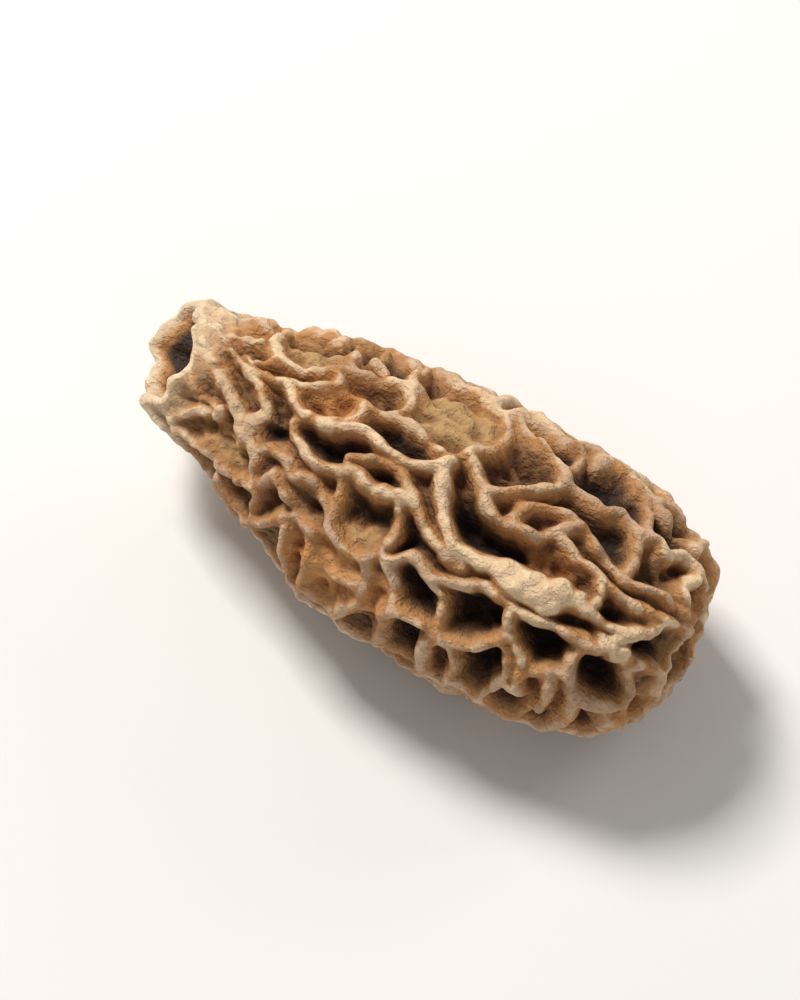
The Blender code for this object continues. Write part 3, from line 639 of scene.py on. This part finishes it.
def mixed_fields(flat, around, crinkle):
    """Both sides' fields at the smooth outside's points, joined: distance to the nearest ridge's
    edge, crest, paleness, the pit's depth, warmth and darkness.

    The points are first moved by noise, so that no ridge runs straight. Towards the unseen side the
    lattice's ridges come within reach first, and then the listed ones go out of reach."""
    wander = 0.34 * noise_vector(flat, 2.3, 5) + 0.14 * noise_vector(flat, 0.9, 9)
    gap, crest, pale, pits = seen_field(flat + crinkle * wander)
    more = crinkle * (0.55 * noise_vector(flat, 3.1, 15) + 0.15 * noise_vector(flat, 1.1, 19))
    back_gap, own = hidden_field(flat + more)
    back = smooth_step(HIDDEN_FROM, HIDDEN_FULL, around + 0.12 * noise(flat, 4.0, 3))
    seen_gone = np.clip(back / 0.35 - 1.857, 0.0, 1.0) * OUT_OF_REACH
    hidden_gone = np.clip(1.0 - back / 0.35, 0.0, 1.0) * OUT_OF_REACH
    gap = np.minimum(gap + seen_gone, back_gap + hidden_gone)
    crest = crest * (1.0 - back)
    pale = pale * (1.0 - back) + (0.68 + 0.35 * noise(flat, 4.5, 23)) * back
    hidden_pits = np.stack([2.0 + 1.2 * own, (own * 7.3) % 1.0, 0.35 + 0.65 * own])
    depth, warm, dark = pits * (1.0 - back) + hidden_pits * back
    x = flat[:, 0]
    depth = depth + (STEM_DEPTH - depth) * (1.0 - smooth_step(*STEM_END, x))
    depth = depth + (TIP_DEPTH - depth) * smooth_step(*TIP_END, x)
    return wander, gap, crest, pale, depth, warm, dark


def relief(flat, wander, gap, crest, depth, crinkle):
    """How far each point rises from the smooth outside, how far down its pit's wall it lies, and
    its distance to the ridge's edge once that edge is roughened.

    With t the distance to the ridge's edge over the wall's run, held between 0 and 1, the wall falls
    by 1 - (1 - t) to the power 1.7 of the way from crest to floor. A ridge's top is raised towards
    its middle, floors carry veins where noise passes through 0, and walls carry pleats."""
    gap = gap + crinkle * (0.11 * noise(flat, 1.4, 41) + 0.08 * noise(flat, 0.62, 43))
    crest = crest + crinkle * (0.45 * noise(flat, 2.4, 47) + 0.24 * noise(flat, 1.0, 53))
    wall_run = WALL_RUN * (1.0 + 0.35 * noise(flat, 3.3, 57))
    fall = 1.0 - (1.0 - np.clip(gap / wall_run, 0.0, 1.0)) ** 1.7
    floor = smooth_step(0.25, 0.9, fall)
    wall = 1.0 - floor
    rise = crest - (crest + depth) * fall
    rise += 0.45 * np.clip(-gap / 0.5, 0.0, 1.0) ** 0.75
    veins = np.clip(1.0 - np.abs(noise(flat + 0.3 * wander, 1.6, 71)) * 3.2, -0.4, 1.0)
    fine_veins = np.clip(1.0 - np.abs(noise(flat + 0.2 * wander, 0.8, 73)) * 3.0, -0.4, 1.0)
    rise += crinkle * floor * (0.46 * veins + 0.2 * fine_veins)
    along_grain = noise(flat * np.array([0.28, 1.0, 1.0]), 0.48, 77)
    across_grain = noise(flat * np.array([1.0, 0.4, 0.4]), 0.52, 78)
    rise += crinkle * (0.085 * along_grain + 0.06 * across_grain * wall)
    pleats = np.clip(1.0 - np.abs(noise(flat + 0.5 * wander, 1.15, 87)) * 3.0, -0.6, 1.0)
    rise += crinkle * 0.15 * pleats * wall
    rise += crinkle * (0.05 * noise(flat, 0.46, 79) + 0.12 * noise(flat, 1.6, 83) * wall)
    return rise, fall, gap


def overhang(base, gap, depth):
    """The shift along the skin that leans each deep pit's lip out over it: up to 0.13 mm away from
    the ridge, in a bell curve of the distance to the ridge's edge."""
    gap = evened(gap, 2)
    down, round_ = grid_slopes(base)
    gap_down, gap_round = grid_slopes(gap)
    uphill = (
        down * (gap_down / np.maximum((down**2).sum(-1), 1e-4))[..., None]
        + round_ * (gap_round / np.maximum((round_**2).sum(-1), 1e-4))[..., None]
    )
    uphill /= np.maximum(np.linalg.norm(uphill, axis=-1), 1.0)[..., None]
    lip = 0.13 * np.exp(-(((gap - 0.06) / 0.26) ** 2))
    return uphill * (lip * smooth_step(0.8, 2.2, depth))[..., None]


def worked_cap(angle, crinkle):
    """The outside's points with their ridges and pits, and the fields that colour them."""
    base = cap_base(angle)
    shape = base.shape[:2]
    flat = base.reshape(-1, 3)
    around = np.abs(np.broadcast_to(angle, shape)).ravel()
    wander, gap, crest, pale, depth, warm, dark = mixed_fields(flat, around, crinkle)
    stem = 1.0 - smooth_step(*STEM_END, flat[:, 0] + 0.8 * noise(flat, 2.5, 61))
    rise, fall, gap = relief(flat, wander, gap, crest, depth, crinkle)
    ragged = 0.20 * noise(flat, 1.3, 63) + 0.22 * noise(flat, 3.4, 67)
    top = smooth_step(-0.16, 0.22, -gap + ragged)

    from_rim = np.linalg.norm(base - base[:1], axis=-1).ravel()
    rise *= 0.2 + 0.8 * smooth_step(0.2, 2.6, from_rim)
    rise = evened(rise.reshape(shape), 1)
    # How far each point stands above its neighbourhood; the paint turns this into painted shade in
    # recesses and a painted highlight on raised places.
    stand = np.clip(0.5 + (rise - evened(rise, 30)) * 0.45, 0.0, 1.0)
    shifted = base + grid_normals(base) * rise[..., None]
    shifted += overhang(base, gap.reshape(shape), depth.reshape(shape))
    shifted += crinkle * 0.28 * noise_vector(base, 8.0, 91)
    fields = {
        "fall": fall,
        "pale": np.clip(pale, 0.0, 1.0),
        "warm": warm,
        "dark": dark,
        "deep": np.clip(depth / 3.0, 0.0, 1.0),
        "stem": stem,
        "inside": np.zeros(len(flat)),
        "stand": stand,
        "top": top,
    }
    return shifted, {name: value.reshape(shape) for name, value in fields.items()}


def lip_and_hollow(angle, rim, rim_next):
    """The torn lip rolled over from the outside's first row, then the hollow's wrinkled wall down
    to its closed end. The lip is a half circle of LIP_THICK across. The wall's radius eases from the
    lip's to HOLLOW's share of the outline, and closes in a quarter circle at the far end."""
    side, up = middle(rim[:, 0])
    centre = np.stack([rim[:, 0], side, up], axis=1)
    outward = rim - centre
    outward[:, 0] = 0.0
    reach = np.linalg.norm(outward, axis=1)
    outward /= reach[:, None]
    start = rim_next - rim
    start /= np.maximum(np.linalg.norm(start, axis=1), 1e-6)[:, None]
    roll = np.linspace(0.0, math.pi, LIP_ROWS + 2)[1:-1][:, None, None]
    half = LIP_THICK / 2.0 * (1.0 + 0.25 * np.sin(4 * angle + 0.5))[None, :, None]
    lip = rim[None] - outward[None] * half * (1.0 - np.cos(roll)) - start[None] * half * np.sin(roll)
    depth = np.linspace(0.0, 1.0, INNER_ROWS)[:, None] ** 1.35
    x = rim[None, :, 0] + (HOLLOW_END - rim[None, :, 0]) * depth
    run = np.array(HOLLOW)
    share = np.interp(x, run[:, 0], run[:, 1])
    closing = np.sqrt(np.clip(1.0 - np.clip((depth - 0.86) / 0.14, 0.0, 1.0) ** 2, 0.0, 1.0))
    start_reach = (reach - LIP_THICK * (1.0 + 0.25 * np.sin(4 * angle + 0.5)))[None]
    full = np.interp(x, *np.array(OUTLINE).T) * share
    ease = smooth_step(0.0, 0.12, depth)
    radius = (start_reach * (1.0 - ease) + full * ease) * closing
    ripple = 0.05 * np.sin(6 * angle + 2.0 * depth * 5) + 0.04 * np.sin(11 * angle - 3.0 * depth * 4)
    radius = radius * (1.0 + ripple * smooth_step(0.0, 0.1, depth))
    turn = FACE_TURN + angle
    side, up = middle(x)
    flatten = 1.0 - 0.10 * ease
    inner = np.stack([
        x,
        side - radius * np.sin(turn) * 1.03,
        up + radius * np.cos(turn) * flatten,
    ], axis=-1)
    return lip, inner[1:-1]


def settle(z, lowest):
    """Flattens the underside a little: a height within the band above the lowest is drawn down."""
    rise = z - lowest
    inside = np.clip(rise / SETTLE_BAND, 0.0, 1.0)
    return lowest + rise * (SETTLE_SHARE + (1.0 - SETTLE_SHARE) * inside)


def morel_points(crinkle):
    """All rows of the skin, from the hollow's closed end out over the lip and along to the tip,
    with the two end points and the fields that colour it."""
    even = np.linspace(-math.pi, math.pi, AROUND, endpoint=False)
    angle = even - SEEN_CLOSER * np.sin(even)
    cap, fields = worked_cap(angle, crinkle)
    lip, inner = lip_and_hollow(angle, cap[0], cap[1])
    grid = np.concatenate([inner[::-1], lip[::-1], cap])
    hidden_rows = len(inner)
    extra = hidden_rows + len(lip)
    padded = {}
    for name, value in fields.items():
        first = {"fall": 0.0, "top": 1.0, "inside": 0.0, "stem": 1.0, "stand": 0.6}.get(name)
        row = np.repeat(value[:1], extra, axis=0) if first is None else np.full((extra, AROUND), first)
        padded[name] = np.concatenate([row, value])
    depth = np.clip((grid[:, :, 0] - lip[-1][None, :, 0]) / LIT_DEPTH, 0.0, 1.0)
    depth[hidden_rows:] = 0.0
    padded["inside"] = depth
    ends = np.array([grid[0].mean(axis=0), grid[-1].mean(axis=0)])
    ends[0, 0] = grid[0, :, 0].max() + 0.15
    ends[1, 0] = grid[-1, :, 0].mean() + 0.03
    return grid, ends, padded


def into_solid_box(points, length):
    """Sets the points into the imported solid's box: settled and worn level below, centred, scaled to
    the given length, and drawn in sideways or down where they would pass the box."""
    lowest = points[:, 2].min()
    points[:, 2] = settle(points[:, 2], lowest) - lowest - WORN
    low, high = points.min(axis=0), points.max(axis=0)
    points *= length / metres(high[0] - low[0])
    low, high = points.min(axis=0), points.max(axis=0)
    box_low, box_high = (np.array(corner) for corner in SOLID_BOX)
    points[:, 0] += (box_low[0] + box_high[0]) / 2.0 / MM - (low[0] + high[0]) / 2.0
    points[:, 1] += (box_low[1] + box_high[1]) / 2.0 / MM - (low[1] + high[1]) / 2.0
    points[:, 2] = np.maximum(points[:, 2], 0.0)
    middle_side = (box_low[1] + box_high[1]) / 2.0 / MM
    widest = np.abs(points[:, 1] - middle_side).max()
    room = (box_high[1] - box_low[1]) / 2.0 / MM
    points[:, 1] = middle_side + (points[:, 1] - middle_side) * min(1.0, room / widest)
    points[:, 2] *= min(1.0, box_high[2] / MM / points[:, 2].max())
    return points


def skin_mesh(name, grid, ends, fields):
    """A closed mesh of the grid's quads, with a fan of triangles at either end and a map laid out
    by row and column."""
    rows, columns = grid.shape[:2]
    points = np.concatenate([grid.reshape(-1, 3), ends])
    index = np.arange(rows * columns).reshape(rows, columns)
    after = np.roll(index, -1, axis=1)
    quads = np.stack([index[:-1], after[:-1], after[1:], index[1:]], axis=-1).reshape(-1, 4)
    inner_end, tip = rows * columns, rows * columns + 1
    first = np.stack([np.full(columns, inner_end), after[0], index[0]], axis=-1)
    last = np.stack([index[-1], after[-1], np.full(columns, tip)], axis=-1)
    mesh = bpy.data.meshes.new(name)
    mesh.vertices.add(len(points))
    mesh.vertices.foreach_set("co", metres(points).ravel())
    loops = np.concatenate([quads.ravel(), first.ravel(), last.ravel()])
    sizes = np.concatenate([np.full(len(quads), 4), np.full(2 * columns, 3)])
    mesh.loops.add(len(loops))
    mesh.loops.foreach_set("vertex_index", loops.astype(np.int32))
    mesh.polygons.add(len(sizes))
    mesh.polygons.foreach_set("loop_start", np.concatenate([[0], np.cumsum(sizes)[:-1]]))
    mesh.update(calc_edges=True)
    mesh.shade_smooth()

    across = np.arange(columns + 1) / columns
    along = (np.arange(rows) + 1.0) / (rows + 1.0)
    u0 = np.broadcast_to(across[:-1], (rows - 1, columns))
    u1 = np.broadcast_to(across[1:], (rows - 1, columns))
    v0 = np.repeat(along[:-1, None], columns, axis=1)
    v1 = np.repeat(along[1:, None], columns, axis=1)
    quad_map = np.stack([
        np.stack([u0, v0], -1), np.stack([u1, v0], -1),
        np.stack([u1, v1], -1), np.stack([u0, v1], -1),
    ], axis=2).reshape(-1, 2)
    mid = (across[:-1] + across[1:]) / 2.0
    flat = np.full(columns, along[0])
    first_map = np.stack([
        np.stack([mid, np.zeros(columns)], -1),
        np.stack([across[1:], flat], -1),
        np.stack([across[:-1], flat], -1),
    ], axis=1).reshape(-1, 2)
    flat = np.full(columns, along[-1])
    last_map = np.stack([
        np.stack([across[:-1], flat], -1),
        np.stack([across[1:], flat], -1),
        np.stack([mid, np.ones(columns)], -1),
    ], axis=1).reshape(-1, 2)
    layer = mesh.uv_layers.new(name="OFBake")
    layer.uv.foreach_set("vector", np.concatenate([quad_map, first_map, last_map]).ravel())

    for name_, value in fields.items():
        stored = mesh.attributes.new(name_, "FLOAT", "POINT")
        ends_value = [value[0].mean(), value[-1].mean()]
        stored.data.foreach_set("value", np.concatenate([value.ravel(), ends_value]).astype(np.float32))
    mesh.validate()
    return mesh


# Finishes

# The tints multiplied in as painted shade where the skin is sunken and along fine creases, the
# finest relief's depth, and how far light spreads under the skin.
RECESS_SHADE_TINT = (0.40, 0.23, 0.13)
CREASE_SHADE_TINT = (0.45, 0.26, 0.15)
GRAIN_DEPTH = 0.3
LIGHT_SPREAD = 0.6


class Wire:
    """A shader socket that can be added to, taken from and multiplied."""

    def __init__(self, paint, socket):
        self.paint = paint
        self.socket = socket

    def _maths(self, operation, left, right):
        return self.paint.node("ShaderNodeMath", {"operation": operation}, {0: left, 1: right})

    def __add__(self, other):
        return self._maths("ADD", self, other)

    def __radd__(self, other):
        return self._maths("ADD", other, self)

    def __sub__(self, other):
        return self._maths("SUBTRACT", self, other)

    def __rsub__(self, other):
        return self._maths("SUBTRACT", other, self)

    def __mul__(self, other):
        return self._maths("MULTIPLY", self, other)

    def __rmul__(self, other):
        return self._maths("MULTIPLY", other, self)


class Paint:
    """A material being built out of nodes."""

    def __init__(self, name):
        self.material = bpy.data.materials.new(name)
        self.material.use_nodes = True
        self.tree = self.material.node_tree
        self.shader = self.tree.nodes["Principled BSDF"]

    def node(self, kind, settings=None, inputs=None, output=0):
        """A new node of this kind with its settings and inputs, as a wire from one output."""
        made = self.tree.nodes.new(kind)
        for name, value in (settings or {}).items():
            setattr(made, name, value)
        for key, value in (inputs or {}).items():
            self.feed(made.inputs[key], value)
        return Wire(self, made.outputs[output])

    def feed(self, socket, value):
        if isinstance(value, Wire):
            self.tree.links.new(value.socket, socket)
            return
        if socket.type == "RGBA" and len(value) == 3:
            value = (*value, 1.0)
        socket.default_value = value

    def field(self, name):
        """The number kept on the mesh under this name."""
        return self.node("ShaderNodeAttribute", {"attribute_name": name}, output="Fac")

    def noise(self, per_metre, detail=3.0, roughness=0.55, stretch=None):
        """Noise over the object's own coordinates, from 0 to 1."""
        place = self.node("ShaderNodeTexCoord", output="Object")
        if stretch:
            place = self.node("ShaderNodeMapping", inputs={"Vector": place, "Scale": stretch})
        return self.node(
            "ShaderNodeTexNoise",
            inputs={"Vector": place, "Scale": per_metre, "Detail": detail, "Roughness": roughness},
            output="Fac",
        )

    def step(self, value, low, high):
        """A smooth step from 0 at low to 1 at high."""
        return self.node(
            "ShaderNodeMapRange",
            {"interpolation_type": "SMOOTHSTEP", "clamp": True},
            {"Value": value, "From Min": low, "From Max": high, "To Min": 0.0, "To Max": 1.0},
        )

    def mix(self, share, first, second, blend="MIX"):
        """The two colours mixed by share."""
        return self.node(
            "ShaderNodeMix",
            {"data_type": "RGBA", "blend_type": blend, "clamp_factor": True},
            {0: share, 6: first, 7: second},
            output=2,
        )


def flesh_paint(settings):
    """Dried flesh: cream to brown crests, with a painted highlight where the skin stands highest, over
    tan walls; orange or khaki pit floors that darken with depth, partly their own dark brown and partly
    painted shade; painted shade in sunken places and fine creases; a cream lip round a hollow painted
    dark as shade; mottled, creased and finely grained all over."""
    paint = Paint("dried_flesh")
    fall, pale, warm = paint.field("fall"), paint.field("pale"), paint.field("warm")
    stand, top = paint.field("stand"), paint.field("top")
    dark, deep = paint.field("dark"), paint.field("deep")
    stem, inside = paint.field("stem"), paint.field("inside")
    blotch = paint.noise(260.0, 4.0)
    mottle = paint.noise(900.0, 4.0, 0.6)
    grain = paint.noise(3600.0, 3.0, 0.6)
    streak = paint.noise(1500.0, 3.0, 0.6, stretch=(0.35, 1.0, 1.0))

    paleness = paint.step(pale + (blotch - 0.5) * 1.1 + (mottle - 0.5) * 0.6, 0.30, 1.10)
    crest_colour = paint.mix(paleness, settings.crest_dull, settings.crest_pale)
    warmth = paint.step(warm + (blotch - 0.5) * 0.9, 0.15, 0.85)
    wall_colour = paint.mix(warmth, settings.wall_tan, settings.floor_warm)
    wall_colour = paint.mix(0.45, wall_colour, settings.wall_tan)
    floor_colour = paint.mix(warmth, settings.floor_khaki, settings.floor_warm)
    # Pit floors go towards the dark colour with the pit's darkness and depth: partly their own dark
    # brown, partly painted shade.
    darkness = paint.step(dark + deep * 0.3 + (mottle - 0.5) * 0.35, 0.30, 1.05)
    floor_colour = paint.mix(darkness, floor_colour, settings.floor_dark_and_shade)
    # Painted shade down the walls of the darker pits.
    shaded = darkness * paint.step(fall + (blotch - 0.5) * 0.5, 0.12, 0.62) * 0.8
    wall_colour = paint.mix(shaded, wall_colour, settings.floor_dark_and_shade)
    # Crest colour over the ridge's top: partly the crests' own pale colour and partly a painted
    # highlight where the skin stands highest.
    crest_and_highlight = paint.step(top * 0.75 + stand * 0.5 + (mottle - 0.5) * 0.7, 0.36, 1.0)
    into_pit = paint.step(fall + (mottle - 0.5) * 0.20, 0.40, 0.95)
    colour = paint.mix(crest_and_highlight, wall_colour, crest_colour)
    colour = paint.mix(into_pit, colour, floor_colour)

    stem_share = paint.step(stem + (mottle - 0.5) * 0.5, 0.35, 0.95) * 0.6
    colour = paint.mix(stem_share, colour, settings.stem_cream)
    # Painted shade: where the skin lies below its neighbourhood, the colour is multiplied darker.
    painted_recess_shade = paint.step(1.0 - stand + (mottle - 0.5) * 0.4, 0.46, 0.82)
    colour = paint.mix(painted_recess_shade * 0.85, colour, RECESS_SHADE_TINT, "MULTIPLY")
    # Fine creases, sunk by the bump and darkened by their tint as painted shade.
    fold = paint.noise(1050.0, 3.0, 0.5, stretch=(0.7, 1.0, 1.0)) - 0.5
    crease = 1.0 - paint.step(fold * fold, 0.0, 0.007)
    colour = paint.mix(crease * 0.16, colour, CREASE_SHADE_TINT, "MULTIPLY")
    speck = paint.step(grain, 0.60, 0.74) * 0.35 * (1.0 - into_pit)
    colour = paint.mix(speck, colour, settings.crest_dull)
    stain = paint.step(streak, 0.56, 0.72) * 0.30 * (1.0 - darkness * into_pit)
    colour = paint.mix(stain, colour, settings.floor_warm)
    # Painted shade into the hollow: the colour turns warm just inside the lip, then dark further in.
    colour = paint.mix(paint.step(inside, 0.03, 0.16), colour, settings.floor_warm)
    colour = paint.mix(paint.step(inside, 0.08, 0.34), colour, settings.floor_dark_and_shade)
    paint.feed(paint.shader.inputs["Base Color"], colour)

    roughness = 0.62 + into_pit * 0.18 + (mottle - 0.5) * 0.22
    paint.feed(paint.shader.inputs["Roughness"], roughness)
    wrinkle = paint.noise(1700.0, 5.0, 0.62, stretch=(1.0, 0.45, 0.45))
    height = grain * 0.35 + mottle * 0.7 + streak * 0.6 + wrinkle * 0.6 - crease * 0.22
    bump = paint.node(
        "ShaderNodeBump",
        inputs={"Strength": 0.9, "Distance": metres(GRAIN_DEPTH), "Height": height},
    )
    paint.feed(paint.shader.inputs["Normal"], bump)
    paint.shader.inputs["Metallic"].default_value = 0.0
    paint.shader.inputs["Specular IOR Level"].default_value = 0.35
    paint.shader.inputs["Subsurface Weight"].default_value = 0.12
    paint.shader.inputs["Subsurface Radius"].default_value = (1.0, 0.5, 0.25)
    paint.shader.inputs["Subsurface Scale"].default_value = metres(LIGHT_SPREAD)
    return paint.material


def floor_paint(settings):
    """A plain matte floor."""
    paint = Paint("pale_floor")
    paint.shader.inputs["Base Color"].default_value = (*settings.floor_colour, 1.0)
    paint.shader.inputs["Roughness"].default_value = 0.85
    return paint.material


# Pieces

# The heights that the lights and the camera are turned to.
MIDDLE_HEIGHT = 0.008
LOOK_HEIGHT = 0.0085


class MOREL_OT_skin(bpy.types.Operator):
    """Builds the mushroom's whole skin"""

    bl_idname = "morel.skin"
    bl_label = "Morel"

    def execute(self, context):
        settings = context.scene.morel
        grid, ends, fields = morel_points(settings.crinkle)
        points = into_solid_box(np.concatenate([grid.reshape(-1, 3), ends]), settings.length)
        grid = points[:-2].reshape(grid.shape)
        mesh = skin_mesh("morel_skin", grid, points[-2:], fields)
        mesh.materials.append(flesh_paint(settings))
        made = bpy.data.objects.new("morel_skin", mesh)
        context.scene.collection.objects.link(made)
        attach(made, "root")
        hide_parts("morel")
        return {"FINISHED"}


def area_light(context, name, place, size, power, colour):
    """A square soft light at the place, turned to the middle of the mushroom."""
    data = bpy.data.lights.new(name, "AREA")
    data.shape = "SQUARE"
    data.size = size
    data.energy = power
    data.color = colour
    made = bpy.data.objects.new(name, data)
    made.location = place
    aim = Vector((0.0, 0.0, MIDDLE_HEIGHT)) - Vector(place)
    made.rotation_euler = aim.to_track_quat("-Z", "Y").to_euler()
    context.scene.collection.objects.link(made)
    return made


class MOREL_OT_stage(bpy.types.Operator):
    """Lays the floor and sets up the lights and the camera"""

    bl_idname = "morel.stage"
    bl_label = "Stage"

    def execute(self, context):
        settings = context.scene.morel_stage
        bpy.ops.mesh.primitive_plane_add(size=6.0, location=(0.0, 0.0, 0.0))
        floor = context.active_object
        floor.name = "floor"
        floor.data.materials.append(floor_paint(settings))

        world = bpy.data.worlds.new("studio")
        world.use_nodes = True
        back = world.node_tree.nodes["Background"]
        back.inputs["Color"].default_value = (1.0, 0.99, 0.97, 1.0)
        back.inputs["Strength"].default_value = 0.28
        context.scene.world = world

        area_light(context, "key", (-0.28, 0.10, 0.42), 0.15, 2.8, (1.0, 0.965, 0.92))
        area_light(context, "fill", (0.40, -0.35, 0.30), 0.45, 0.5, (0.95, 0.97, 1.0))
        area_light(context, "rim", (0.22, 0.45, 0.26), 0.25, 0.55, (1.0, 0.98, 0.95))

        data = bpy.data.cameras.new("camera")
        data.lens = settings.lens
        camera = bpy.data.objects.new("camera", data)
        a, e = settings.azimuth, settings.elevation
        away = Vector((math.sin(a) * math.cos(e), -math.cos(a) * math.cos(e), math.sin(e)))
        camera.location = Vector((0.0, 0.0, LOOK_HEIGHT)) + away * settings.distance
        camera.rotation_euler = (-away).to_track_quat("-Z", "Y").to_euler()
        data.clip_start = 0.01
        data.clip_end = 20.0
        context.scene.collection.objects.link(camera)
        context.scene.camera = camera
        context.scene.view_settings.view_transform = "Standard"
        return {"FINISHED"}


class MOREL_PT_panel(bpy.types.Panel):
    """Lists the mushroom's pieces and settings"""

    bl_idname = "MOREL_PT_panel"
    bl_label = "Dried morel"
    bl_space_type = "VIEW_3D"
    bl_region_type = "UI"
    bl_category = "Morel"

    def draw(self, context):
        layout = self.layout
        for operator in OPERATORS:
            layout.operator(operator.bl_idname)
        for group in (context.scene.morel, context.scene.morel_stage):
            for name in group.__annotations__:
                layout.prop(group, name)


OPERATORS = (MOREL_OT_skin, MOREL_OT_stage)
CLASSES = (MorelSettings, StageSettings, *OPERATORS, MOREL_PT_panel)


def register():
    for item in CLASSES:
        bpy.utils.register_class(item)
    bpy.types.Scene.morel = bpy.props.PointerProperty(type=MorelSettings)
    bpy.types.Scene.morel_stage = bpy.props.PointerProperty(type=StageSettings)


def unregister():
    del bpy.types.Scene.morel_stage
    del bpy.types.Scene.morel
    for item in reversed(CLASSES):
        bpy.utils.unregister_class(item)


def main():
    register()
    bpy.ops.morel.skin()
    bpy.ops.morel.stage()


if __name__ == "__main__":
    main()
